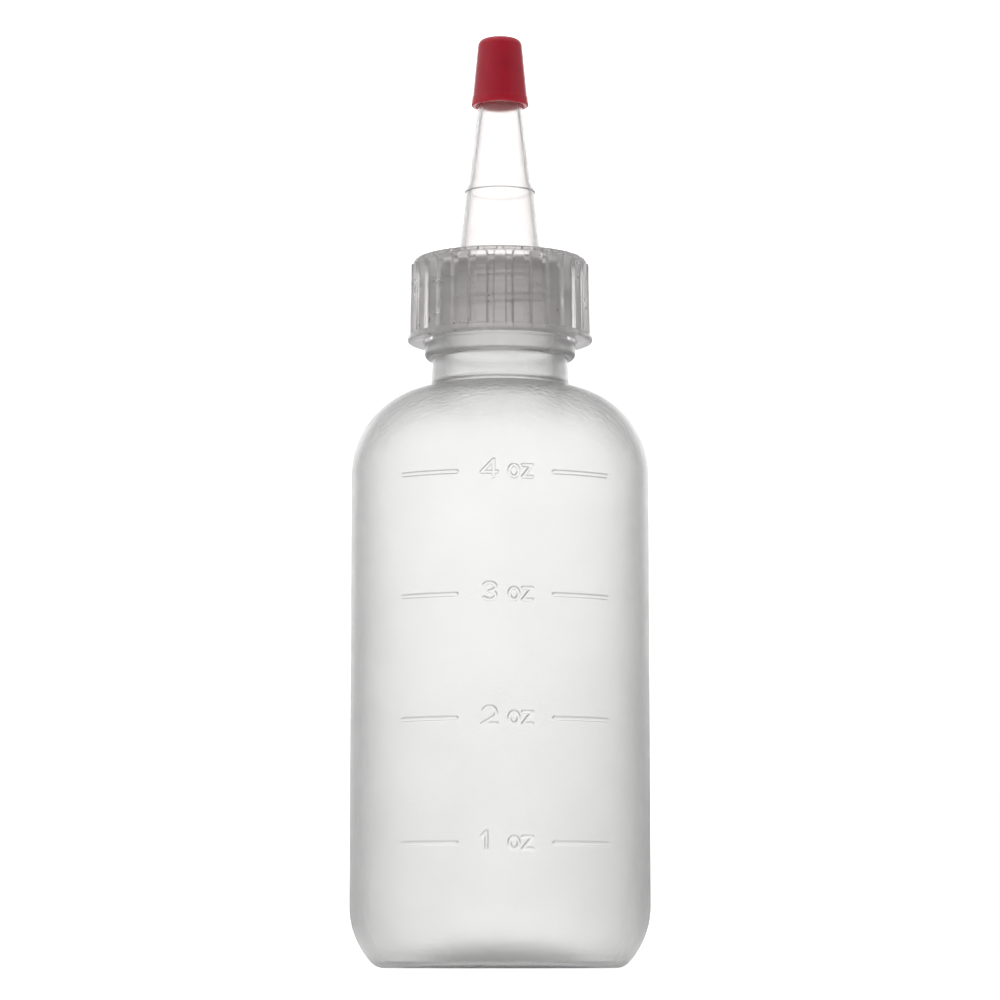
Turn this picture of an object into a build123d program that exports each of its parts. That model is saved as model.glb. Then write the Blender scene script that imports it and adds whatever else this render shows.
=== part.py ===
from build123d import *
from math import acos, atan2, cos, degrees, dist, radians, sin
import os

# Glue applicator bottle: squeeze bottle, screw closure with spout, and tip cap.
# Millimetres, +Z up. The origin is the centre of the ring that the bottle stands
# on, and the graduations face -Y.

# ---- Bottle body ----
body_radius = 23.45
wall = 1.0
heel_height = 9.6  # where the straight side begins
heel_radius = 13.0  # upper, larger arc of the heel
heel_sweep = 42.0  # degrees turned by that larger arc
ring_width = 1.2  # flat ring that the bottle stands on
push_up = 3.0  # height of the domed base above the ring
shoulder_height = 77.1
shoulder_radius = 13.9
shoulder_inner_end = 10.2  # radius where the inside of the shoulder meets the neck
inner_fillet = 1.5  # where the inside of the shoulder and the bore meet

# ---- Neck finish, 24-410: T and E diameters, 8 threads per inch, 1.5 turns ----
bottle_height = 110.2
neck_radius = 10.7
neck_foot_radius = 11.0  # the neck widens a little from the bead down to the shoulder
bore_radius = 8.5
bore_flare_height = 91.8
neck_root_fillet = 0.8
bead_radius = 11.95
bead_bottom = 95.5
bead_top = 98.1
bead_fillet = 0.9
bead_corner = 0.4
neck_corner = 0.3
land_fillet = 0.4
land_chamfer = 0.3
thread_radius = 11.75
thread_lead = 3.175
thread_turns = 1.5
thread_root_width = 2.1
thread_crest_width = 1.0
thread_start = 2.0  # top end of the thread, middle, below the neck's land
thread_start_angle = -56.0
thread_ramp = 24.0  # degrees over which each end of a thread fades out
thread_root_depth = 0.2  # how far a thread is rooted in its wall

# ---- Graduations: 1 oz to 4 oz ----
mark_plane = 12.0  # where the outlines of the marks are drawn, in front of the axis
mark_height = 0.2
mark_width = 0.62
ounce_step = 18.7
ounces = 4
left_line = (-15.0, -6.3)
right_line = (7.9, 16.5)
mark_baseline = -1.2  # foot of the figures, from the line
figure_left = -2.95
figure_width = 2.75
figure_height = 3.2
two_bowl = 0.375  # of the figure's height
two_bowl_start = -35.0
two_bowl_sweep = 190.0
three_bowl_sweep = 240.0
four_cross = 0.3  # height of the bar of the 4, of the figure's height
letter_height = 2.4
letter_width = 2.0
letter_o_left = 1.1
letter_z_left = 3.15

# ---- Closure ----
seat_gap = 0.05
plate_thickness = 1.25
closure_bottom = 98.3
closure_bore = 12.0
skirt_radius = 13.55
rim_radius = 13.75
rim_height = 1.5
rim_fillet = 0.55
plate_fillet = 0.5
flange_radius = 14.62
flange_thickness = 0.95
flange_fillet = 0.3
skirt_chamfer = 0.3
closure_thread_crest = 11.05
closure_thread_root_width = 1.5
closure_thread_crest_width = 0.7
closure_thread_drop = 1.3  # its thread lies this far under the neck's thread
rib_count = 30
rib_width = 1.85
rib_top_drop = 0.8
rib_radius_top = 14.11
rib_draft = 1.05
rib_corner = 0.5
rib_edge = 0.22
rib_root_depth = 0.2  # how far a rib is rooted in the skirt

# ---- Spout ----
spout_wall = 0.8
spout_base_radius = 6.72
spout_base_fillet = 0.6
spout_step_height = 122.4
spout_step_radius = 5.48
spout_lip_radius = 5.7
spout_lip_fillet = 0.12
spout_upper_height = 124.1  # where the sloping shoulder above the step ends
spout_upper_radius = 4.98
spout_top = 145.6
spout_top_radius = 2.52
spout_top_fillet = 0.3
nozzle_radius = 0.75
nozzle_length = 1.2
nozzle_taper = 1.2

# ---- Plug-seal ring of the closure ----
seal_radius = 8.45
seal_thickness = 0.85
seal_depth = 2.6
seal_chamfer = 0.3

# ---- Tip cap ----
tip_bottom = 136.5
tip_top = 147.45
tip_lip_bottom_radius = 4.62
tip_lip_top_radius = 4.49
tip_lip_height = 1.4
tip_lip_fillet = 0.3
tip_lip_edge = 0.04
tip_side_bottom = 4.4
tip_side_top = 3.46
tip_crown_fillet = 1.2
tip_clearance = 0.05
tip_roof_gap = 0.1
tip_mouth_chamfer = 0.35
gate_radius = 0.55
gate_depth = 0.2

# ---- Worked out from the dimensions above ----
heel_angle = radians(heel_sweep)
heel_foot_radius = (heel_height - heel_radius * sin(heel_angle)) / (1 - sin(heel_angle))
ring_outer = (
    body_radius
    - heel_radius * (1 - cos(heel_angle))
    - heel_foot_radius * cos(heel_angle)
)
ring_inner = ring_outer - ring_width
mark_half = mark_width / 2
dome_radius = (ring_inner**2 + push_up**2) / (2 * push_up)
plate_underside = bottle_height + seat_gap
closure_top = plate_underside + plate_thickness
flange_top = closure_bottom + flange_thickness
thread_height = thread_lead * thread_turns
thread_foot = bottle_height - thread_start - thread_height
thread_foot_angle = thread_start_angle - 360 * thread_turns
spout_slope = (spout_upper_radius - spout_top_radius) / (spout_top - spout_upper_height)
throat_height = spout_top - nozzle_length - nozzle_taper
cavity_top = spout_top + tip_roof_gap


def polar(radius, angle):
    """Point in the XY plane at an angle in degrees."""
    return (radius * cos(radians(angle)), radius * sin(radians(angle)))


def corners(builder, points):
    """Vertices of a sketch nearest to the given points."""
    return [builder.vertices().sort_by_distance(point)[0] for point in points]


def spout_outer(height):
    """Outer radius of the upper cone of the spout."""
    return spout_upper_radius - spout_slope * (height - spout_upper_height)


# ---- Screw threads ----
def screw_thread(root, crest, root_width, crest_width):
    """Right-hand thread about Z from angle 0, height 0, with faded ends.

    The crest lies outside the root on the neck and inside it in the closure.
    """
    outward = 1 if crest > root else -1
    rooted = root - outward * thread_root_depth
    flank = (root_width - crest_width) / abs(crest - root)
    rooted_width = root_width + flank * thread_root_depth
    far = crest + 4 * (crest - root)
    with BuildPart() as thread:
        with BuildLine() as path:
            Helix(thread_lead, thread_height, root)
        with BuildSketch(Plane.XZ):
            Polygon(
                (rooted, -rooted_width / 2),
                (crest, -crest_width / 2),
                (crest, crest_width / 2),
                (rooted, rooted_width / 2),
                align=None,
            )
        sweep(path=path.wire(), is_frenet=True)
        for height, angle, way in ((0, 0, 1), (thread_height, 360 * thread_turns, -1)):
            with BuildSketch(Plane.XY.offset(height - thread_lead / 2)):
                Polygon(
                    polar(rooted, angle - way),
                    polar(crest, angle + way * thread_ramp),
                    polar(far, angle + way * thread_ramp),
                    polar(far, angle - way * thread_ramp),
                    align=None,
                )
            extrude(amount=thread_lead, mode=Mode.SUBTRACT)
    return thread.part


# ---- Bottle ----
def body_outline(inset):
    """Half outline from the axis at the base to the shoulder, moved in by inset."""
    radius = dome_radius + inset
    edge_angle = degrees(acos((dome_radius - push_up + inset) / radius))
    CenterArc((0, push_up - dome_radius), radius, 90, -edge_angle)
    foot = (radius * sin(radians(edge_angle)), inset)
    ring = Line(foot, (ring_outer, inset))
    small = JernArc(ring @ 1, (1, 0), heel_foot_radius - inset, 90 - heel_sweep)
    large = JernArc(small @ 1, small % 1, heel_radius - inset, heel_sweep)
    return Line(large @ 1, (body_radius - inset, shoulder_height))


def shoulder_arc(inset, end_radius):
    """Shoulder of the bottle, from the straight side in to end_radius."""
    centre = body_radius - shoulder_radius
    radius = shoulder_radius - inset
    sweep_angle = degrees(acos((end_radius - centre) / radius))
    return CenterArc((centre, shoulder_height), radius, 0, sweep_angle)


with BuildPart() as bottle:
    with BuildSketch(Plane.XZ) as bottle_section:
        with BuildLine():
            body_outline(0)
            shoulder = shoulder_arc(0, neck_foot_radius)
            Polyline(
                shoulder @ 1,
                (neck_radius, bead_bottom),
                (bead_radius, bead_bottom),
                (bead_radius, bead_top),
                (neck_radius, bead_top),
                (neck_radius, bottle_height),
                (0, bottle_height),
                (0, push_up),
            )
        make_face()
        fillet(corners(bottle_section, [shoulder @ 1]), neck_root_fillet)
        fillet(corners(bottle_section, [(bead_radius, bead_bottom)]), bead_fillet)
        fillet(corners(bottle_section, [(neck_radius, bead_bottom)]), neck_corner)
        fillet(corners(bottle_section, [(bead_radius, bead_top)]), bead_corner)
        fillet(corners(bottle_section, [(neck_radius, bottle_height)]), land_fillet)
        with BuildLine():
            body_outline(wall)
            inner_shoulder = shoulder_arc(wall, shoulder_inner_end)
            Polyline(
                inner_shoulder @ 1,
                (bore_radius, bore_flare_height),
                (bore_radius, bottle_height),
                (0, bottle_height),
                (0, push_up + wall),
            )
        make_face(mode=Mode.SUBTRACT)
        fillet(corners(bottle_section, [inner_shoulder @ 1]), inner_fillet)
        fillet(corners(bottle_section, [(bore_radius, bore_flare_height)]), inner_fillet)
        chamfer(corners(bottle_section, [(bore_radius, bottle_height)]), land_chamfer)
    revolve(axis=Axis.Z)
    with Locations(Location((0, 0, thread_foot), (0, 0, thread_foot_angle))):
        add(screw_thread(neck_radius, thread_radius, thread_root_width, thread_crest_width))


# ---- Graduations ----
def stroke(*points):
    """Round-ended strokes along a chain of points."""
    for start, end in zip(points, points[1:]):
        middle = ((start[0] + end[0]) / 2, (start[1] + end[1]) / 2)
        angle = degrees(atan2(end[1] - start[1], end[0] - start[0]))
        with Locations(middle):
            SlotCenterToCenter(dist(start, end), mark_width, rotation=angle)


def arc_stroke(centre, radius, start_angle, arc_size):
    """Round-ended stroke along a circular arc."""
    arc = CenterArc(centre, radius, start_angle, arc_size, mode=Mode.PRIVATE)
    SlotArc(arc, mark_width)


def figure(number, base):
    """One raised figure, 1 to 4, standing on the height base."""
    left = figure_left + mark_half
    right = figure_left + figure_width - mark_half
    middle = (left + right) / 2
    low = base + mark_half
    high = base + figure_height - mark_half
    if number == 1:
        stem = left + mark_width
        stroke((left, high - mark_width), (stem, high), (stem, low))
    if number == 2:
        bowl = (high - low) * two_bowl
        centre = Vector(middle, high - bowl)
        neck = centre + Vector(bowl, 0).rotate(Axis.Z, two_bowl_start)
        arc_stroke((centre.X, centre.Y), bowl, two_bowl_start, two_bowl_sweep)
        stroke((neck.X, neck.Y), (left, low), (right, low))
    if number == 3:
        bowl = (high - low) / 4
        arc_stroke((middle, high - bowl), bowl, -90, three_bowl_sweep)
        arc_stroke((middle, low + bowl), bowl, 90 - three_bowl_sweep, three_bowl_sweep)
    if number == 4:
        cross = low + (high - low) * four_cross
        stem = right - mark_width
        stroke((right, cross), (left, cross), (stem, high), (stem, low))


def ounce_letters(base):
    """Raised letters o and z, standing on the height base."""
    half_width = letter_width / 2
    half_height = letter_height / 2
    with Locations((letter_o_left + half_width, base + half_height)):
        Ellipse(half_width, half_height)
        Ellipse(half_width - mark_width, half_height - mark_width, mode=Mode.SUBTRACT)
    left = letter_z_left + mark_half
    right = letter_z_left + letter_width - mark_half
    low = base + mark_half
    high = base + letter_height - mark_half
    stroke((left, high), (right, high), (left, low), (right, low))


with BuildPart() as marks:
    with BuildSketch(Plane.XZ.offset(mark_plane)):
        for number in range(1, ounces + 1):
            line_height = ounce_step * number
            for start, end in (left_line, right_line):
                stroke((start, line_height), (end, line_height))
            figure(number, line_height + mark_baseline)
            ounce_letters(line_height + mark_baseline)
    extrude(amount=body_radius)
    with BuildSketch(Plane.XY.offset(heel_height)):
        Circle(body_radius + mark_height)
        Circle(body_radius - mark_height, mode=Mode.SUBTRACT)
    extrude(amount=shoulder_height - heel_height, mode=Mode.INTERSECT)

with bottle:
    add(marks.part)

# ---- Closure ----
with BuildPart() as rib:
    rib_top = closure_top - rib_top_drop
    rib_length = (rib_top - flange_top) / cos(radians(rib_draft))
    outward = Vector(0, -cos(radians(rib_draft)), sin(radians(rib_draft)))
    rib_plane = Plane(origin=(0, -rib_radius_top, rib_top), x_dir=(1, 0, 0), z_dir=outward)
    with BuildSketch(rib_plane) as rib_face:
        with Locations((0, -rib_length / 2)):
            Rectangle(rib_width, rib_length)
        top_corners = rib_face.vertices().group_by(Axis.Y)[-1]
        fillet(top_corners, rib_corner)
    extrude(amount=rib_radius_top - skirt_radius + rib_root_depth, dir=-outward)
    face_edges = rib.faces().sort_by(Axis.Y)[0].edges()
    fillet(face_edges.sort_by(Axis.Z)[1:], rib_edge)

with BuildPart() as closure:
    with BuildSketch(Plane.XZ) as closure_section:
        with BuildLine():
            Polyline(
                (closure_bore, closure_bottom),
                (flange_radius, closure_bottom),
                (flange_radius, flange_top),
                (skirt_radius, flange_top),
                (skirt_radius, closure_top - rim_height),
                (rim_radius, closure_top - rim_height),
                (rim_radius, closure_top),
                (spout_base_radius, closure_top),
                (spout_step_radius, spout_step_height),
                (spout_lip_radius, spout_step_height),
                (spout_upper_radius, spout_upper_height),
                (spout_top_radius, spout_top),
                (nozzle_radius, spout_top),
                (nozzle_radius, spout_top - nozzle_length),
                (spout_outer(throat_height) - spout_wall, throat_height),
                (spout_upper_radius - spout_wall, spout_upper_height),
                (spout_step_radius - spout_wall, spout_step_height),
                (spout_base_radius - spout_wall, plate_underside),
                (closure_bore, plate_underside),
                close=True,
            )
        make_face()
        fillet(corners(closure_section, [(spout_base_radius, closure_top)]), spout_base_fillet)
        fillet(corners(closure_section, [(rim_radius, closure_top)]), rim_fillet)
        fillet(corners(closure_section, [(closure_bore, plate_underside)]), plate_fillet)
        flange_corners = [(flange_radius, closure_bottom), (flange_radius, flange_top)]
        fillet(corners(closure_section, flange_corners), flange_fillet)
        chamfer(corners(closure_section, [(closure_bore, closure_bottom)]), skirt_chamfer)
        lip_edge = (spout_lip_radius, spout_step_height)
        fillet(corners(closure_section, [lip_edge]), spout_lip_fillet)
        fillet(corners(closure_section, [(spout_top_radius, spout_top)]), spout_top_fillet)
    revolve(axis=Axis.Z)
    with Locations(
        Location((0, 0, thread_foot - closure_thread_drop), (0, 0, thread_foot_angle))
    ):
        add(
            screw_thread(
                closure_bore,
                closure_thread_crest,
                closure_thread_root_width,
                closure_thread_crest_width,
            )
        )
    with PolarLocations(0, rib_count):
        add(rib.part)

# ---- Plug-seal ring ----
with BuildPart() as seal_ring:
    with BuildSketch(Plane.XY.offset(plate_underside)):
        Circle(seal_radius)
        Circle(seal_radius - seal_thickness, mode=Mode.SUBTRACT)
    extrude(amount=-seal_depth)
    bottom_edges = seal_ring.edges().group_by(Axis.Z)[0]
    chamfer(bottom_edges.sort_by(SortBy.RADIUS)[-1], seal_chamfer)

# ---- Tip cap ----
with BuildPart() as tip_cap:
    with BuildSketch(Plane.XZ) as tip_section:
        with BuildLine():
            mouth = spout_outer(tip_bottom) + tip_clearance
            crown = spout_outer(cavity_top) + tip_clearance
            tip_lip_top = tip_bottom + tip_lip_height
            Polyline(
                (mouth, tip_bottom),
                (tip_lip_bottom_radius, tip_bottom),
                (tip_lip_top_radius, tip_lip_top),
                (tip_side_bottom, tip_lip_top),
                (tip_side_top, tip_top),
                (0, tip_top),
                (0, cavity_top),
                (crown, cavity_top),
                close=True,
            )
        make_face()
        chamfer(corners(tip_section, [(mouth, tip_bottom)]), tip_mouth_chamfer)
        fillet(corners(tip_section, [(tip_side_top, tip_top)]), tip_crown_fillet)
        fillet(corners(tip_section, [(tip_lip_bottom_radius, tip_bottom)]), tip_lip_fillet)
        fillet(corners(tip_section, [(tip_lip_top_radius, tip_lip_top)]), tip_lip_edge)
    revolve(axis=Axis.Z)
    gate_ball = (gate_radius**2 + gate_depth**2) / (2 * gate_depth)
    with Locations((0, 0, tip_top + gate_ball - gate_depth)):
        Sphere(gate_ball, mode=Mode.SUBTRACT)

# ---- Written parts ----
os.makedirs("parts", exist_ok=True)

bottle.part.label = "bottle"
export_step(bottle.part, "parts/bottle.step")

closure.part.label = "closure"
export_step(closure.part, "parts/closure.step")

seal_ring.part.label = "seal_ring"
export_step(seal_ring.part, "parts/seal_ring.step")

tip_cap.part.label = "tip_cap"
export_step(tip_cap.part, "parts/tip_cap.step")
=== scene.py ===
import math

import bpy
import numpy as np
from mathutils import Matrix, Vector


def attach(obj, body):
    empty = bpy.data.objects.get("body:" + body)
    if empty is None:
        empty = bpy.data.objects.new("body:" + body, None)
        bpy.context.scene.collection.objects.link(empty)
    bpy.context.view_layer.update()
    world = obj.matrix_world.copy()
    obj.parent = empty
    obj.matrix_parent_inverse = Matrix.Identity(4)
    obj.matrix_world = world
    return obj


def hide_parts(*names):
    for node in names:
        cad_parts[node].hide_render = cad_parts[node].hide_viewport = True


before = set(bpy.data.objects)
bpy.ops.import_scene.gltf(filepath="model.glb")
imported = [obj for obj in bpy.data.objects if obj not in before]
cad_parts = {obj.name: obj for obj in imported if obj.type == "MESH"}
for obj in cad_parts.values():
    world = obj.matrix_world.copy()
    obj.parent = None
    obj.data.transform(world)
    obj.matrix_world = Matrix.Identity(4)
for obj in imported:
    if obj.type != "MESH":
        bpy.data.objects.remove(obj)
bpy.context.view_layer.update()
MM = 0.001

# ------------------------------------------------------------------ dimensions, mm
# Bottle. Names that end in _R are radii, and the thread's ramp and start are in degrees.
BODY_R, WALL = 23.45, 1.0
HEEL_TOP, HEEL_R, HEEL_SWEEP = 9.6, 13.0, math.radians(42)
RING_WIDTH, PUSH_UP = 1.2, 3.0
SHOULDER_Z, SHOULDER_R, SHOULDER_INNER_END = 77.1, 13.9, 10.2
NECK_R, BORE_R, NECK_TOP, BORE_FLARE_Z = 10.7, 8.5, 110.2, 91.8
NECK_FOOT_R, NECK_ROOT = 11.0, 0.8
BEAD_R, BEAD_LOW, BEAD_HIGH, BEAD_FILLET = 11.95, 95.5, 98.1, 0.9
THREAD_R, LEAD, TURNS = 11.75, 3.175, 1.5
THREAD_FOOT = NECK_TOP - 2.0 - LEAD * TURNS
THREAD_FOOT_ANGLE = -56.0 - 360 * TURNS
THREAD_RAMP = 24.0
THREAD_ROOT, THREAD_CREST, THREAD_ROW = 2.1, 1.0, 0.16

# Graduations: across from the middle of the front, and up from each line or its text's foot.
OUNCES, OUNCE_STEP = 4, 18.7
MARK_HEIGHT, MARK_WIDTH, TEXT_WIDTH = 0.2, 0.62, 0.5
MARK_FLANK, FLANK_OUTSIDE = 0.15, 0.06
LEFT_LINE, RIGHT_LINE = (-15.0, -6.3), (7.9, 16.5)
MARK_BASELINE = -1.2
FIGURE_LEFT, FIGURE_WIDTH, FIGURE_HEIGHT = -2.95, 2.75, 3.2
THREE_WIDER = 1.4  # width of the 3's bowls for their height
FOUR_BAR, FOUR_BAR_LEFT, FOUR_BAR_RIGHT = 0.28, 0.15, 0.1  # share of its height, overhangs
OVAL_CENTRE, OVAL_RADII = (2.1, 1.2), (0.69, 0.89)
ZED_LEFT, ZED_WIDTH, ZED_HEIGHT = 3.15, 2.0, 2.4

# Closure: plate, skirt, rim, flange, thread and ribs.
PLATE_LOW, PLATE_TOP = 110.25, 111.5
CAP_LOW, CAP_BORE, SKIRT_R = 98.3, 12.0, 13.55
RIM_R, RIM_LOW, RIM_FILLET = 13.75, 110.0, 0.55
FLANGE_R, FLANGE_TOP = 14.62, 99.25
CAP_THREAD_R, CAP_THREAD_DROP = 11.05, 1.3
CAP_THREAD_ROOT, CAP_THREAD_CREST = 1.5, 0.7
RIBS, RIB_WIDTH, RIB_TOP, RIB_TOP_R = 30, 1.85, 110.7, 14.11
RIB_DRAFT, RIB_CORNER, RIB_EDGE = math.radians(1.05), 0.5, 0.22
RIB_CREST, RIB_CREST_DEPTH = 0.12, 0.1

# Spout, plug-seal ring and tip cap.
SPOUT_WALL, SPOUT_BASE_R = 0.8, 6.72
STEP_Z, STEP_R, LIP_R = 122.4, 5.48, 5.7
UPPER_Z, UPPER_R, SPOUT_TOP, SPOUT_TOP_R = 124.1, 4.98, 145.6, 2.52
NOZZLE_R, NOZZLE_LENGTH = 0.75, 1.2
SEAL_R, SEAL_THICKNESS, SEAL_DEPTH = 8.45, 0.85, 2.6
TIP_LOW, TIP_HIGH, TIP_LIP_HEIGHT = 136.5, 147.45, 1.4
TIP_LIP_LOW_R, TIP_LIP_TOP_R = 4.62, 4.49
TIP_SIDE_LOW, TIP_SIDE_HIGH, TIP_CROWN = 4.4, 3.46, 1.2
TIP_CLEARANCE, TIP_ROOF = 0.05, 145.7
GATE_R, GATE_DEPTH = 0.55, 0.2


# ------------------------------------------------------------------ outline helpers
def arc(centre, radius, start, end, steps):
    """Points on a circular arc, angles in radians."""
    turn = np.linspace(start, end, steps + 1)
    return [(centre[0] + radius * math.cos(t), centre[1] + radius * math.sin(t)) for t in turn]


def rounded(corners, steps=5):
    """Polyline through (r, z, fillet) corners with every fillet drawn as an arc."""
    points = []
    for i, (x, y, size) in enumerate(corners):
        here = Vector((x, y))
        if size == 0 or i in (0, len(corners) - 1):
            points.append((x, y))
            continue
        before = (Vector(corners[i - 1][:2]) - here).normalized()
        after = (Vector(corners[i + 1][:2]) - here).normalized()
        half = before.angle(after) / 2
        reach = size / math.tan(half)
        centre = here + (before + after).normalized() * (size / math.sin(half))
        first, last = here + before * reach - centre, here + after * reach - centre
        turn = first.angle_signed(last)
        for k in range(steps + 1):
            p = first.copy()
            p.rotate(Matrix.Rotation(-turn * k / steps, 2))
            points.append(tuple(centre + p))
    return points


def spaced(points, step):
    """The polyline with no segment longer than step."""
    out = [points[0]]
    for a, b in zip(points, points[1:]):
        count = max(1, math.ceil(math.dist(a, b) / step - 1e-6))
        out += [
            (a[0] + (b[0] - a[0]) * k / count, a[1] + (b[1] - a[1]) * k / count)
            for k in range(1, count + 1)
        ]
    return out


# ------------------------------------------------------------------ mesh helpers
class Shell:
    """Rings of points stitched into one closed surface about Z.

    Its painted shade rows hold the painted shade on the marks' flanks for a ring, filed under the
    ring's first point.
    """

    def __init__(self):
        self.points, self.faces, self.edges = [], [], {}
        self.start = self.last = None

    def ring(self, keys, points):
        """Adds a ring. Its keys name columns, and rings join where they share a key."""
        first = len(self.points)
        self.points += [tuple(p) for p in points]
        here = (list(keys), first)
        if self.last:
            self._stitch(self.last, here)
        else:
            self.start = here
        self.last = here

    def _stitch(self, low, high):
        low_at = {k: i for i, k in enumerate(low[0])}
        high_at = {k: i for i, k in enumerate(high[0])}
        shared = [k for k in low[0] if k in high_at]
        for a, b in zip(shared, shared[1:] + shared[:1]):
            span_low = self._span(low, low_at[a], low_at[b])
            span_high = self._span(high, high_at[a], high_at[b])
            self.faces.append(span_low + span_high[::-1])

    @staticmethod
    def _span(ring, i, j):
        keys, first = ring
        count = (j - i) % len(keys) or len(keys)
        return [first + (i + k) % len(keys) for k in range(count + 1)]

    def pole(self, height, closing):
        """A single point on the axis that begins or ends the surface."""
        self.points.append((0.0, 0.0, height))
        tip = len(self.points) - 1
        keys, first = self.last if closing else self.start
        count = len(keys)
        for k in range(count):
            a, b = first + k, first + (k + 1) % count
            self.faces.append([a, b, tip] if closing else [b, a, tip])

    def join_ends(self):
        """Joins the last ring to the first, for a surface shaped like a ring."""
        self._stitch(self.last, self.start)

    def build(self, name, material):
        """Makes the object, with the painted shade on the marks' flanks as the point attribute
        outline.
        """
        mesh = bpy.data.meshes.new(name)
        mesh.from_pydata([tuple(c * MM for c in p) for p in self.points], [], self.faces)
        mesh.shade_smooth()
        mesh.materials.append(material)
        # The attribute outline holds the painted shade on the marks' flanks.
        outline = mesh.attributes.new("outline", "FLOAT", "POINT")
        values = np.zeros(len(self.points))
        for first, edge in self.edges.items():
            values[first : first + len(edge)] = edge
        outline.data.foreach_set("value", values)
        mesh.validate()
        piece = bpy.data.objects.new(name, mesh)
        bpy.context.collection.objects.link(piece)
        weighted = piece.modifiers.new("weighted", "WEIGHTED_NORMAL")
        weighted.keep_sharp = False
        weighted.weight = 80
        return piece


def circle(radius, height, angles):
    """Points at angles in degrees; radius may vary by angle."""
    turn = np.radians(angles)
    radii = np.broadcast_to(radius, turn.shape)
    return np.stack([radii * np.cos(turn), radii * np.sin(turn), np.full(turn.shape, height)], 1)


def smooth_step(t):
    """Rises smoothly from 0 to 1 as t does, and stays level outside that."""
    t = np.clip(t, 0, 1)
    return t * t * (3 - 2 * t)


def thread_height(angles, height, foot, root_width, crest_width, depth):
    """How far the thread stands out of its wall at each angle of one height."""
    along = np.mod(np.asarray(angles) - THREAD_FOOT_ANGLE, 360)
    raised = np.zeros(along.shape)
    for turn in range(math.ceil(TURNS)):
        t = along + 360 * turn
        off = np.abs(height - foot - LEAD * t / 360)
        flank = smooth_step((root_width / 2 - off) / ((root_width - crest_width) / 2))
        end = smooth_step(np.minimum(t, 360 * TURNS - t) / THREAD_RAMP)
        raised = np.maximum(raised, flank * end * (t <= 360 * TURNS))
    return raised * depth


# ------------------------------------------------------------------ raised graduations
def arc_points(cx, cz, r, start, size, wider=1.0, count=16):
    """Points on an arc, angles in degrees, made wider along x."""
    turn = np.radians(np.linspace(start, start + size, count))
    return list(zip(cx + r * wider * np.cos(turn), cz + r * np.sin(turn)))


def figure_strokes(number):
    """Centre lines of the figures 1 to 4, from the foot of the figure."""
    half = MARK_WIDTH / 2
    left, right = FIGURE_LEFT + half, FIGURE_LEFT + FIGURE_WIDTH - half
    middle, low, high = (left + right) / 2, half, FIGURE_HEIGHT - half
    bowl = (high - low) / 4
    if number == 1:
        return [[(left, high - 2 * half), (left + 2 * half, high), (left + 2 * half, low)]]
    if number == 2:
        top = arc_points(middle, high - bowl * 1.5, bowl * 1.5, start=155, size=-190)
        return [top + [(left, low), (right, low)]]
    if number == 3:
        return [
            arc_points(middle, high - bowl, bowl, start=150, size=-240, wider=THREE_WIDER),
            arc_points(middle, low + bowl, bowl, start=90, size=-240, wider=THREE_WIDER),
        ]
    cross, stem = low + (high - low) * FOUR_BAR, right - 1.5 * half
    bar = [(right + FOUR_BAR_RIGHT, cross), (left - FOUR_BAR_LEFT, cross)]
    return [bar + [(stem, high), (stem, low)]]


def mark_strokes(number):
    """Every stroke at one graduation: two lines, the figure, and the letters oz."""
    half = MARK_WIDTH / 2
    (x, z), (wide, tall) = OVAL_CENTRE, OVAL_RADII
    turn = np.radians(np.linspace(0, 360, 25))
    oval = [(x + wide * math.cos(t), z + tall * math.sin(t)) for t in turn]
    left, right = ZED_LEFT + half, ZED_LEFT + ZED_WIDTH - half
    low, high = half, ZED_HEIGHT - half
    zed = [(left, high), (right, high), (left, low), (right, low)]
    words = figure_strokes(number) + [oval, zed]
    lifted = [[(x, z + MARK_BASELINE) for x, z in s] for s in words]
    return lifted + [[(a + half, 0), (b - half, 0)] for a, b in (LEFT_LINE, RIGHT_LINE)]


def mark_relief(x, z):
    """Height of the relief along a row of the body's front, and how steep it is, 0 to 1, which sets
    the painted shade on the marks' flanks.
    """
    number = int(np.clip(round(float(z) / OUNCE_STEP), 1, OUNCES))
    dz = z - number * OUNCE_STEP
    nearest = np.full(x.shape, OUNCE_STEP / 2)
    for stroke in mark_strokes(number):
        for (ax, az), (bx, bz) in zip(stroke, stroke[1:]):
            length = (bx - ax) ** 2 + (bz - az) ** 2 + 1e-12
            t = np.clip(((x - ax) * (bx - ax) + (dz - az) * (bz - az)) / length, 0, 1)
            nearest = np.minimum(nearest, np.hypot(x - ax - t * (bx - ax), dz - az - t * (bz - az)))
    in_text = (x > LEFT_LINE[1] + 1) & (x < RIGHT_LINE[0] - 1)
    half = np.where(in_text, TEXT_WIDTH, MARK_WIDTH) / 2
    rise = smooth_step((half + FLANK_OUTSIDE - nearest) / MARK_FLANK)
    return MARK_HEIGHT * rise, 4 * rise * (1 - rise)


# ------------------------------------------------------------------ bottle
COARSE = np.arange(0, 360, 2.5)
FINE_STEP = 0.09  # mm between the columns at the marks
TEXT_SPAN = (-3.15, 5.35)
LINE_END_SPAN = (-0.45, 0.46)
MARK_SPAN, MARK_ROWS = (-0.25, 3.45), 42  # heights above the text's foot with fine rows
MARK_MARGIN = 0.3
DOME_START = 0.04  # where the dome's first ring lies, as a share of its edge's angle
ARC_SHORT = 0.08  # radians that the shoulder's arc leaves for the fillet at the neck
LAND_DROP = 0.45


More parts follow.
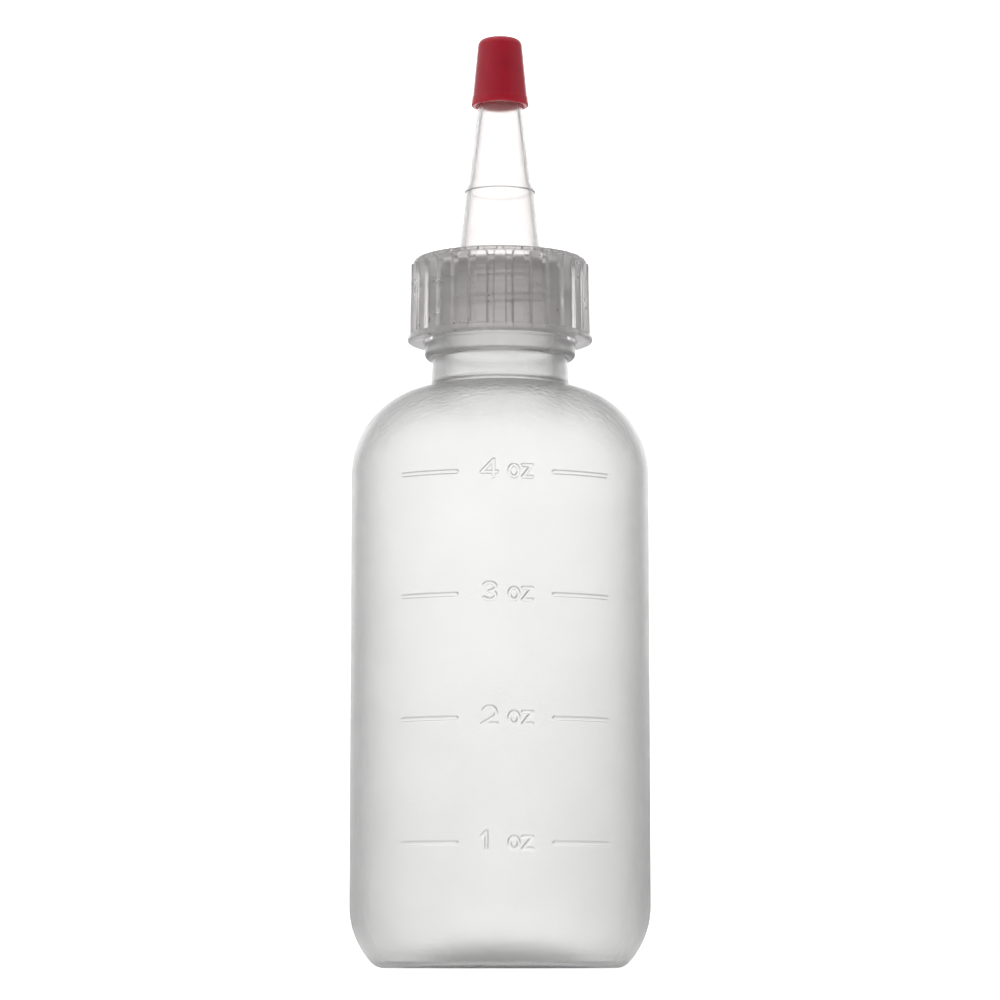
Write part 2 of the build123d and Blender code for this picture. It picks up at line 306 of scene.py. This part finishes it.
def foot_arcs(inset):
    """Outline of the base and heel from the dome's edge to the top of the heel."""
    foot_r = (HEEL_TOP - HEEL_R * math.sin(HEEL_SWEEP)) / (1 - math.sin(HEEL_SWEEP))
    ring_outer = BODY_R - HEEL_R * (1 - math.cos(HEEL_SWEEP)) - foot_r * math.cos(HEEL_SWEEP)
    ring_inner = ring_outer - RING_WIDTH
    dome_r = (ring_inner**2 + PUSH_UP**2) / (2 * PUSH_UP)
    edge = math.acos((dome_r - PUSH_UP + inset) / (dome_r + inset))
    up = math.pi / 2
    dome = arc((0, PUSH_UP - dome_r), dome_r + inset, up - edge * DOME_START, up - edge, 14)
    small = arc((ring_outer, foot_r), foot_r - inset, -up, -HEEL_SWEEP, 16)
    large = arc((BODY_R - HEEL_R, HEEL_TOP), HEEL_R - inset, -HEEL_SWEEP, 0, 14)
    return dome[:-1] + [(ring_outer - RING_WIDTH * 0.6, inset)] + small + large[1:]


def bottle_outer():
    """Outline of the outside, from the foot of the shoulder to the top of the bead."""
    centre = BODY_R - SHOULDER_R
    end = math.acos((NECK_FOOT_R - centre) / SHOULDER_R)
    shoulder = arc((centre, SHOULDER_Z), SHOULDER_R, 0, end - ARC_SHORT, 28)
    neck = rounded(
        [
            (*shoulder[-1], 0),
            (NECK_FOOT_R, SHOULDER_Z + SHOULDER_R * math.sin(end), NECK_ROOT),
            (NECK_R, BEAD_LOW, 0.3),
            (BEAD_R, BEAD_LOW, BEAD_FILLET),
            (BEAD_R, BEAD_HIGH, 0.4),
            (NECK_R, BEAD_HIGH, 0.15),
            (NECK_R, BEAD_HIGH + 0.4, 0),
        ]
    )
    return shoulder + neck[1:]


def bottle_inner():
    """Outline of the inside, from the mouth down to near the axis."""
    centre = BODY_R - SHOULDER_R
    radius = SHOULDER_R - WALL
    end = math.acos((SHOULDER_INNER_END - centre) / radius)
    shoulder = arc((centre, SHOULDER_Z), radius, 0, end - ARC_SHORT, 20)
    neck = rounded(
        [
            (*shoulder[-1], 0),
            (SHOULDER_INNER_END - 0.1, SHOULDER_Z + radius * math.sin(end), 0.9),
            (BORE_R, BORE_FLARE_Z, 1.5),
            (BORE_R, NECK_TOP - 0.3, 0),
        ]
    )
    side = spaced([(BODY_R - WALL, HEEL_TOP), (BODY_R - WALL, SHOULDER_Z)], 4)
    up = foot_arcs(WALL) + side[1:-1] + shoulder + neck[1:]
    return up[::-1]


def mark_angles():
    """Columns for the rows that carry graduations: fine at the text and line ends."""
    fine = list(np.arange(*TEXT_SPAN, FINE_STEP))
    for end in (*LEFT_LINE, *RIGHT_LINE):
        fine += list(np.arange(end + LINE_END_SPAN[0], end + LINE_END_SPAN[1], FINE_STEP))
    angles = {round(270 + math.degrees(math.asin(x / BODY_R)), 4) for x in fine}
    spare = [a for a in angles if np.min(np.abs(COARSE - a)) > 0.1]
    return np.array(sorted([*COARSE, *spare]))


def body_side(shell):
    """The straight side, with fine rows at each graduation."""
    fine = mark_angles()
    x = BODY_R * np.cos(np.radians(fine))
    front = np.sin(np.radians(fine)) < 0
    low, high = (MARK_BASELINE + end for end in MARK_SPAN)
    floor = HEEL_TOP
    for number in range(1, OUNCES + 1):
        line = OUNCE_STEP * number
        for z in np.linspace(floor, line + low - MARK_MARGIN, 6)[1:]:
            shell.ring(COARSE, circle(BODY_R, z, COARSE))
        for z in np.linspace(line + low, line + high, MARK_ROWS):
            relief, edge = mark_relief(x, z)
            # Painted shade: how steep the marks' flanks are, kept to darken the base colour there.
            shell.edges[len(shell.points)] = np.where(front, edge, 0)
            shell.ring(fine, circle(BODY_R + np.where(front, relief, 0), z, fine))
        floor = line + high + MARK_MARGIN
        if number < OUNCES:
            shell.ring(COARSE, circle(BODY_R, floor, COARSE))


def make_bottle(material):
    shell = Shell()
    for r, z in foot_arcs(0):
        shell.ring(COARSE, circle(r, z, COARSE))
    body_side(shell)
    for r, z in bottle_outer()[1:]:
        shell.ring(COARSE, circle(r, z, COARSE))
    depth = THREAD_R - NECK_R
    for z in np.arange(BEAD_HIGH + 0.55, NECK_TOP - LAND_DROP, THREAD_ROW):
        raised = thread_height(COARSE, z, THREAD_FOOT, THREAD_ROOT, THREAD_CREST, depth)
        shell.ring(COARSE, circle(NECK_R + raised, z, COARSE))
    land = rounded(
        [
            (NECK_R, NECK_TOP - LAND_DROP, 0),
            (NECK_R, NECK_TOP, 0.4),
            (BORE_R, NECK_TOP, 0.3),
            (BORE_R, NECK_TOP - 0.4, 0),
        ]
    )
    for r, z in land + bottle_inner()[1:]:
        shell.ring(COARSE, circle(r, z, COARSE))
    shell.pole(PUSH_UP, closing=False)
    shell.pole(PUSH_UP + WALL, closing=True)
    return shell.build("bottle_body", material)


# ------------------------------------------------------------------ closure
CAP_COARSE = np.arange(0, 360, 3.0)
RIB_PITCH = 360 // RIBS
RIB_KEYS = 14  # columns of one rib and the wall beside it
SHARED_KEYS = ((2, -3), (5, 0), (8, 3), (12, 6))  # column and its degrees from the rib


def skirt_ring(base, z, face, half):
    """One ring round the ribs: base radius, rib face radius and rib half width at z."""
    edge = min(RIB_EDGE, max(0.02, face - base - 0.02))
    side = [(half, base, True), (half, face - edge, False)]
    for t in np.radians([30, 60]):
        side.append((half - edge * (1 - math.cos(t)), face - edge + edge * math.sin(t), False))
    side += [(half - edge, face, False), (0.0, face, False)]
    points = []
    for rib in range(RIBS):
        centre = math.radians(270 + RIB_PITCH * rib)
        local = [(-u, v, b) for u, v, b in side] + [(u, v, b) for u, v, b in side[-2::-1]]
        for u, v, on_base in local:
            if on_base:
                v = math.sqrt(base**2 - u**2)
            points.append(
                (
                    v * math.cos(centre) - u * math.sin(centre),
                    v * math.sin(centre) + u * math.cos(centre),
                    z,
                )
            )
        wall = math.degrees(math.asin(half / base))
        for part in (1 / 4, 1 / 2, 3 / 4):
            angle = math.radians(270 + RIB_PITCH * rib + wall + (RIB_PITCH - 2 * wall) * part)
            points.append((base * math.cos(angle), base * math.sin(angle), z))
    return points


def rib_keys():
    """Column names round the skirt; every 3 degrees one is shared with the plain rings."""
    keys = []
    for rib in range(RIBS):
        names = [(rib, k) for k in range(RIB_KEYS)]
        for k, turn in SHARED_KEYS:
            names[k] = round((270 + RIB_PITCH * rib + turn) % 360, 3)
        keys += names
    return keys


def cap_skirt(shell):
    """The flange, ribs and rim, from the flange's underside to the top of the rim."""
    keys = rib_keys()
    plain = RIB_WIDTH / 2
    flange = rounded(
        [
            (FLANGE_R - 0.6, CAP_LOW, 0),
            (FLANGE_R, CAP_LOW, 0.3),
            (FLANGE_R, FLANGE_TOP, 0.3),
            (FLANGE_R - 0.35, FLANGE_TOP, 0),
        ]
    )
    for r, z in flange:
        shell.ring(keys, skirt_ring(r, z, r, plain))
    start_face = RIB_TOP_R + (RIB_TOP - FLANGE_TOP) * math.tan(RIB_DRAFT)
    shell.ring(keys, skirt_ring(SKIRT_R, FLANGE_TOP, start_face, plain))
    heights = [FLANGE_TOP + 0.15, 102, 105, 108, RIM_LOW - 0.12, RIM_LOW, RIM_LOW + 0.08]
    corner = RIB_TOP - RIB_CORNER
    for angle in (8, 24, 36, 48, 60, 70, 80):
        heights.append(corner + RIB_CORNER * math.sin(math.radians(angle)))
    for z in [*heights, RIB_TOP]:
        base = SKIRT_R if z < RIM_LOW - 0.01 else RIM_R
        face = RIB_TOP_R + (RIB_TOP - z) * math.tan(RIB_DRAFT)
        up = max(0.0, z - (RIB_TOP - RIB_CREST)) / RIB_CREST
        face -= RIB_CREST_DEPTH * (1 - math.sqrt(max(0.0, 1 - up * up)))
        lift = max(0.0, z - corner) / RIB_CORNER
        half = plain - RIB_CORNER * (1 - math.sqrt(max(0.0, 1 - lift * lift)))
        shell.ring(keys, skirt_ring(base, z, face, half))
    rim = [
        (RIM_R, RIB_TOP + 0.01, 0),
        (RIM_R, PLATE_TOP, RIM_FILLET),
        (RIM_R - 0.9, PLATE_TOP, 0),
    ]
    for r, z in rounded(rim):
        shell.ring(keys, skirt_ring(r, z, r, plain - RIB_CORNER))


def spout_outer_radius(z):
    """Outer radius of the spout's upper cone at a height."""
    return UPPER_R - (UPPER_R - SPOUT_TOP_R) * (z - UPPER_Z) / (SPOUT_TOP - UPPER_Z)


def spout_outline():
    """From the top plate up the outside of the spout, and down inside to the plate."""
    throat = SPOUT_TOP - 2 * NOZZLE_LENGTH
    outline = [
        (RIM_R - 1.6, PLATE_TOP, 0),
        (SPOUT_BASE_R, PLATE_TOP, 0.6),
        (STEP_R, STEP_Z, 0.06),
        (LIP_R, STEP_Z, 0.12),
        (UPPER_R, UPPER_Z, 0.6),
        (SPOUT_TOP_R, SPOUT_TOP, 0.3),
        (NOZZLE_R, SPOUT_TOP, 0.1),
        (NOZZLE_R, SPOUT_TOP - NOZZLE_LENGTH, 0.1),
        (spout_outer_radius(throat) - SPOUT_WALL, throat, 0.2),
        (UPPER_R - SPOUT_WALL, UPPER_Z, 0.2),
        (STEP_R - SPOUT_WALL, STEP_Z, 0.2),
        (SPOUT_BASE_R - SPOUT_WALL, PLATE_LOW, 0.3),
        (CAP_BORE, PLATE_LOW, 0.5),
        (CAP_BORE, PLATE_LOW - 0.7, 0),
    ]
    return rounded(outline, 4)


def make_closure(material):
    shell = Shell()
    cap_skirt(shell)
    for r, z in spout_outline():
        shell.ring(CAP_COARSE, circle(r, z, CAP_COARSE))
    foot, depth = THREAD_FOOT - CAP_THREAD_DROP, CAP_BORE - CAP_THREAD_R
    for z in np.arange(PLATE_LOW - 0.85, CAP_LOW + 0.35, -THREAD_ROW):
        raised = thread_height(CAP_COARSE, z, foot, CAP_THREAD_ROOT, CAP_THREAD_CREST, depth)
        shell.ring(CAP_COARSE, circle(CAP_BORE - raised, z, CAP_COARSE))
    shell.ring(CAP_COARSE, circle(CAP_BORE, CAP_LOW + 0.3, CAP_COARSE))
    shell.ring(CAP_COARSE, circle(CAP_BORE + 0.3, CAP_LOW, CAP_COARSE))
    shell.join_ends()
    return shell.build("screw_closure", material)


# ------------------------------------------------------------------ seal ring and tip cap
def make_seal(material):
    shell = Shell()
    inner, low, top = SEAL_R - SEAL_THICKNESS, PLATE_LOW - SEAL_DEPTH, PLATE_LOW - 0.02
    loop = [
        (inner, top, 0),
        (inner, low, 0.2),
        (SEAL_R, low, 0.3),
        (SEAL_R, top, 0),
    ]
    for r, z in rounded(loop):
        shell.ring(CAP_COARSE, circle(r, z, CAP_COARSE))
    shell.join_ends()
    return shell.build("plug_seal_ring", material)


def make_tip(material):
    shell = Shell()
    ball = (GATE_R**2 + GATE_DEPTH**2) / (2 * GATE_DEPTH)
    edge = math.asin(GATE_R / ball)
    down = -math.pi / 2
    dimple = arc((0, TIP_HIGH + ball - GATE_DEPTH), ball, down + edge, down + 0.1, 4)
    mouth = spout_outer_radius(TIP_LOW) + TIP_CLEARANCE
    roof = spout_outer_radius(TIP_ROOF) + TIP_CLEARANCE
    outside = rounded(
        [
            (roof - 0.8, TIP_ROOF, 0),
            (roof, TIP_ROOF, 0.3),
            (mouth, TIP_LOW + 0.35, 0.1),
            (mouth + 0.35, TIP_LOW, 0.1),
            (TIP_LIP_LOW_R, TIP_LOW, 0.3),
            (TIP_LIP_TOP_R, TIP_LOW + TIP_LIP_HEIGHT, 0.04),
            (TIP_SIDE_LOW, TIP_LOW + TIP_LIP_HEIGHT, 0.03),
            (TIP_SIDE_HIGH, TIP_HIGH, TIP_CROWN),
            (GATE_R + 0.1, TIP_HIGH, 0),
        ],
        7,
    )
    for r, z in outside + dimple:
        shell.ring(CAP_COARSE, circle(r, z, CAP_COARSE))
    shell.pole(TIP_ROOF, closing=False)
    shell.pole(TIP_HIGH - GATE_DEPTH, closing=True)
    return shell.build("red_tip_cap", material)


# ------------------------------------------------------------------ materials
def nodes_of(name):
    """A new material, its node tree and its shader."""
    material = bpy.data.materials.new(name)
    material.use_nodes = True
    tree = material.node_tree
    return material, tree, tree.nodes["Principled BSDF"]


def noise(tree, scale, detail=2.0, stretch=(1, 1, 1)):
    """A noise texture in object space; scale is in cycles per metre."""
    place = tree.nodes.new("ShaderNodeTexCoord")
    mapping = tree.nodes.new("ShaderNodeMapping")
    mapping.inputs["Scale"].default_value = stretch
    texture = tree.nodes.new("ShaderNodeTexNoise")
    texture.inputs["Scale"].default_value = scale
    texture.inputs["Detail"].default_value = detail
    tree.links.new(place.outputs["Object"], mapping.inputs["Vector"])
    tree.links.new(mapping.outputs["Vector"], texture.inputs["Vector"])
    return texture.outputs["Fac"]


def ranged(tree, source, start, end, low, high, smooth=False):
    """A level that goes from low to high as the source goes from start to end."""
    node = tree.nodes.new("ShaderNodeMapRange")
    node.interpolation_type = "SMOOTHSTEP" if smooth else "LINEAR"
    levels = {"From Min": start, "From Max": end, "To Min": low, "To Max": high}
    for name, value in levels.items():
        node.inputs[name].default_value = value
    tree.links.new(source, node.inputs["Value"])
    return node.outputs["Result"]


def spread(tree, source, low, high):
    """Maps a noise's middle range to low..high."""
    return ranged(tree, source, 0.3, 0.7, low, high)


def by_height(tree, start, end, low, high):
    """A value that goes from low to high as object Z goes from start to end, in metres."""
    place = tree.nodes.new("ShaderNodeTexCoord")
    parts = tree.nodes.new("ShaderNodeSeparateXYZ")
    tree.links.new(place.outputs["Object"], parts.inputs["Vector"])
    return ranged(tree, parts.outputs["Z"], start, end, low, high)


def maths(tree, operation, *values):
    """The result of a Math node; each value is a socket or a number."""
    node = tree.nodes.new("ShaderNodeMath")
    node.operation = operation
    for slot, value in zip(node.inputs, values):
        if isinstance(value, (int, float)):
            slot.default_value = value
        else:
            tree.links.new(value, slot)
    return node.outputs["Value"]


def tinted(tree, factor, dark, light):
    """A colour between dark and light."""
    node = tree.nodes.new("ShaderNodeMix")
    node.data_type = "RGBA"
    node.inputs["A"].default_value = (*dark, 1)
    node.inputs["B"].default_value = (*light, 1)
    tree.links.new(factor, node.inputs["Factor"])
    return node.outputs["Result"]


def bumped(tree, sources, shader):
    """Stacks bumps; each source is (height socket, distance in metres)."""
    normal = None
    for height, distance in sources:
        node = tree.nodes.new("ShaderNodeBump")
        node.inputs["Distance"].default_value = distance
        tree.links.new(height, node.inputs["Height"])
        if normal:
            tree.links.new(normal, node.inputs["Normal"])
        normal = node.outputs["Normal"]
    tree.links.new(normal, shader.inputs["Normal"])


PLASTIC_IOR, CLARITY = 1.5, 0.92
# Painted shade: the base colour on the raised marks' flanks, darker than the plastic.
MARK_FLANK_SHADE_COLOUR = (0.62, 0.61, 0.6, 1)
# Heights over which an effect comes or goes, and bump distances, all in metres.
SHOULDER_RIPPLE, RIPPLE_END = (0.072, 0.086), (0.089, 0.0915)
HEEL_RIPPLE = (0.022, 0.006)
FINE_BUMP, RIPPLE_BUMP, CLOSURE_BUMP, TIP_BUMP = 3e-6, 5e-5, 1e-5, 4e-6
PLATE_SPAN, SKIRT_FROST, SPOUT_FROST = (0.1105, 0.112), 0.29, 0.17


def bottle_plastic():
    """Cloudy and translucent, rippled at the shoulder and heel, with painted shade on the marks'
    flanks.
    """
    material, tree, shader = nodes_of("bottle_plastic")
    cloud = spread(tree, noise(tree, 90, 3), 0, 1)
    # Painted shade: the steepness of the marks' flanks, read from the attribute outline.
    outline = tree.nodes.new("ShaderNodeAttribute")
    outline.attribute_name = "outline"
    cloud_tone = tinted(tree, cloud, (0.93, 0.93, 0.925), (0.96, 0.96, 0.955))
    # The base colour darkens to painted shade along the marks' flanks.
    drawn = tree.nodes.new("ShaderNodeMix")
    drawn.data_type = "RGBA"
    drawn.inputs["B"].default_value = MARK_FLANK_SHADE_COLOUR
    tree.links.new(cloud_tone, drawn.inputs["A"])
    tree.links.new(outline.outputs["Fac"], drawn.inputs["Factor"])
    tree.links.new(drawn.outputs["Result"], shader.inputs["Base Color"])
    tree.links.new(spread(tree, noise(tree, 300, 3), 0.23, 0.27), shader.inputs["Roughness"])
    shader.inputs["IOR"].default_value = PLASTIC_IOR
    shader.inputs["Transmission Weight"].default_value = CLARITY
    shoulder = maths(
        tree,
        "ADD",
        by_height(tree, *SHOULDER_RIPPLE, 0, 1),
        by_height(tree, *RIPPLE_END, 0, -1),
    )
    ends = maths(tree, "ADD", shoulder, by_height(tree, *HEEL_RIPPLE, 0, 0.4))
    ripple = maths(tree, "MULTIPLY", noise(tree, 1500, 2, (1, 1, 1.3)), ends)
    bumped(tree, [(noise(tree, 2500, 1), FINE_BUMP), (ripple, RIPPLE_BUMP)], shader)
    return material


def closure_plastic():
    """Translucent and clearer than the bottle, and clearest at the spout."""
    material, tree, shader = nodes_of("closure_plastic")
    cloud = spread(tree, noise(tree, 150, 3), 0, 1)
    tree.links.new(
        tinted(tree, cloud, (0.985, 0.96, 0.955), (0.995, 0.98, 0.975)), shader.inputs["Base Color"]
    )
    frost = spread(tree, noise(tree, 500, 2), -0.02, 0.02)
    base = by_height(tree, *PLATE_SPAN, SKIRT_FROST, SPOUT_FROST)
    tree.links.new(maths(tree, "ADD", frost, base), shader.inputs["Roughness"])
    shader.inputs["IOR"].default_value = PLASTIC_IOR
    shader.inputs["Transmission Weight"].default_value = CLARITY
    bumped(tree, [(noise(tree, 900, 2), CLOSURE_BUMP)], shader)
    return material


def tip_plastic():
    """Glossy red, with light scattered under the surface."""
    material, tree, shader = nodes_of("tip_plastic")
    cloud = spread(tree, noise(tree, 300, 3), 0, 1)
    tree.links.new(
        tinted(tree, cloud, (0.56, 0.003, 0.032), (0.62, 0.005, 0.038)),
        shader.inputs["Base Color"],
    )
    tree.links.new(spread(tree, noise(tree, 700, 2), 0.1, 0.15), shader.inputs["Roughness"])
    shader.inputs["IOR"].default_value = PLASTIC_IOR
    shader.inputs["Subsurface Weight"].default_value = 1.0
    shader.inputs["Subsurface Radius"].default_value = (1.0, 0.1, 0.12)
    shader.inputs["Subsurface Scale"].default_value = 0.003
    shader.inputs["Coat Weight"].default_value = 0.2
    shader.inputs["Coat Roughness"].default_value = 0.06
    bumped(tree, [(noise(tree, 1200, 2), TIP_BUMP)], shader)
    return material


# ------------------------------------------------------------------ pieces
bottle = make_bottle(bottle_plastic())
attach(bottle, "bottle")
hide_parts("bottle")

clear = closure_plastic()
closure = make_closure(clear)
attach(closure, "closure")
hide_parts("closure")

seal = make_seal(clear)
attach(seal, "seal")
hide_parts("seal_ring")

tip = make_tip(tip_plastic())
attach(tip, "tip_cap")
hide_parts("tip_cap")


# ------------------------------------------------------------------ studio
# The glowing patch of floor under the object, in metres from the axis.
FLOOR_SIZE, FLOOR_GREY, FLOOR_SHOWN = 3.0, 0.6, 0.8
PATCH_EDGE, PATCH_LEVEL = (0.012, 0.026), 0.7
PATCH_SIDES, PATCH_SIDE_SHARE = (0.01, 0.06), 0.1

# Levels of the studio by direction: X, Y and Z are the parts of a unit vector, and a wall's
# or a shade's place from left to right is X / Y.
SIDE_SPAN, SIDE_LEFT, SIDE_RIGHT = (-0.9, 0.9), 0.6, 0.4
TOP_SPAN, TOP_LEVEL = (0.35, 0.95), 0.3
FRONT_SPAN, FRONT_LEVEL = (-0.3, -0.95), -0.2
WALL_START, WALL_LEFT, WALL_RIGHT = (0, 0.3), (-1.05, -0.42), (1.1, 0.45)
WALL_SPAN, WALL_LOW, WALL_HIGH = (-0.3, 0.3), 1.05, 1.75
WALL_TOP = (0.32, 0.6)
SHADE_RIGHT, SHADE_LEFT = (0.0, 0.28, 0, 0.85), (-0.05, -0.35, 0, 0.6)
SHADE_TOP = (0.0, 0.14)
NEAREST_Y = 0.05

LENS, SENSOR = 132.48, 36
CAMERA_PLACE, CAMERA_PITCH = (0, -0.576, 0.00288), 6.96


def make_floor():
    """A pale floor, with a glow under the object that the camera doesn't see."""
    mesh = bpy.data.meshes.new("floor")
    size = FLOOR_SIZE
    mesh.from_pydata(
        [(-size, -size, 0), (size, -size, 0), (size, size, 0), (-size, size, 0)],
        [],
        [(0, 1, 2, 3)],
    )
    material, tree, shader = nodes_of("floor")
    place = tree.nodes.new("ShaderNodeTexCoord")
    away = tree.nodes.new("ShaderNodeVectorMath")
    away.operation = "LENGTH"
    parts = tree.nodes.new("ShaderNodeSeparateXYZ")
    tree.links.new(place.outputs["Object"], away.inputs[0])
    tree.links.new(place.outputs["Object"], parts.inputs["Vector"])
    patch = ranged(tree, away.outputs["Value"], *PATCH_EDGE, 0, PATCH_LEVEL, smooth=True)
    off_axis = maths(tree, "ABSOLUTE", parts.outputs["X"])
    share = ranged(tree, off_axis, *PATCH_SIDES, 1, PATCH_SIDE_SHARE)
    path = tree.nodes.new("ShaderNodeLightPath")
    shown = maths(tree, "MULTIPLY", path.outputs["Is Camera Ray"], FLOOR_SHOWN)
    glow = maths(tree, "MAXIMUM", shown, maths(tree, "MULTIPLY", patch, share))
    tree.links.new(glow, shader.inputs["Emission Strength"])
    shader.inputs["Base Color"].default_value = (FLOOR_GREY, FLOOR_GREY, FLOOR_GREY, 1)
    shader.inputs["Roughness"].default_value = 0.9
    shader.inputs["Emission Color"].default_value = (1, 1, 1, 1)
    mesh.materials.append(material)
    floor = bpy.data.objects.new("floor", mesh)
    bpy.context.collection.objects.link(floor)


def make_world():
    """A white wall behind the object, and a dimmer studio round the rest of it."""
    world = bpy.data.worlds.new("studio")
    bpy.context.scene.world = world
    world.use_nodes = True
    tree = world.node_tree
    background = tree.nodes["Background"]
    place = tree.nodes.new("ShaderNodeTexCoord")
    parts = tree.nodes.new("ShaderNodeSeparateXYZ")
    tree.links.new(place.outputs["Generated"], parts.inputs["Vector"])
    x, y, z = (parts.outputs[axis] for axis in "XYZ")

    def eased(source, *levels):
        return ranged(tree, source, *levels, smooth=True)

    around = maths(tree, "DIVIDE", x, ranged(tree, y, NEAREST_Y, 1, NEAREST_Y, 1))
    wall = eased(y, *WALL_START, 0, 1)
    wall = maths(tree, "MULTIPLY", wall, eased(around, *WALL_LEFT, 0, 1))
    wall = maths(tree, "MULTIPLY", wall, eased(around, *WALL_RIGHT, 0, 1))
    wall = maths(tree, "MULTIPLY", wall, eased(z, *WALL_SPAN, WALL_LOW, WALL_HIGH))
    wall = maths(tree, "MULTIPLY", wall, eased(z, *WALL_TOP, 1, 0))
    shade = maths(tree, "ADD", eased(around, *SHADE_RIGHT), eased(around, *SHADE_LEFT))
    shade = maths(tree, "MULTIPLY", shade, eased(z, *SHADE_TOP, 1, 0))
    wall = maths(tree, "MULTIPLY", wall, maths(tree, "SUBTRACT", 1, shade))
    level = eased(x, *SIDE_SPAN, SIDE_LEFT, SIDE_RIGHT)
    level = maths(tree, "ADD", level, eased(z, *TOP_SPAN, 0, TOP_LEVEL))
    level = maths(tree, "ADD", level, eased(y, *FRONT_SPAN, 0, FRONT_LEVEL))
    level = maths(tree, "MAXIMUM", level, wall)
    path = tree.nodes.new("ShaderNodeLightPath")
    level = maths(tree, "MAXIMUM", level, path.outputs["Is Camera Ray"])
    tree.links.new(level, background.inputs["Strength"])
    background.inputs["Color"].default_value = (1, 1, 1, 1)


def make_camera():
    """A long lens, low down and looking slightly upward."""
    data = bpy.data.cameras.new("camera")
    data.lens, data.sensor_width = LENS, SENSOR
    data.clip_start, data.clip_end = 0.01, 20
    camera = bpy.data.objects.new("camera", data)
    camera.location = CAMERA_PLACE
    camera.rotation_euler = (math.radians(90 + CAMERA_PITCH), 0, 0)
    bpy.context.collection.objects.link(camera)
    bpy.context.scene.camera = camera


make_floor()
make_world()
make_camera()

scene = bpy.context.scene
scene.view_settings.view_transform = "Standard"
scene.cycles.max_bounces = 24
scene.cycles.transmission_bounces = 20
scene.cycles.glossy_bounces = 8
scene.cycles.use_denoising = True
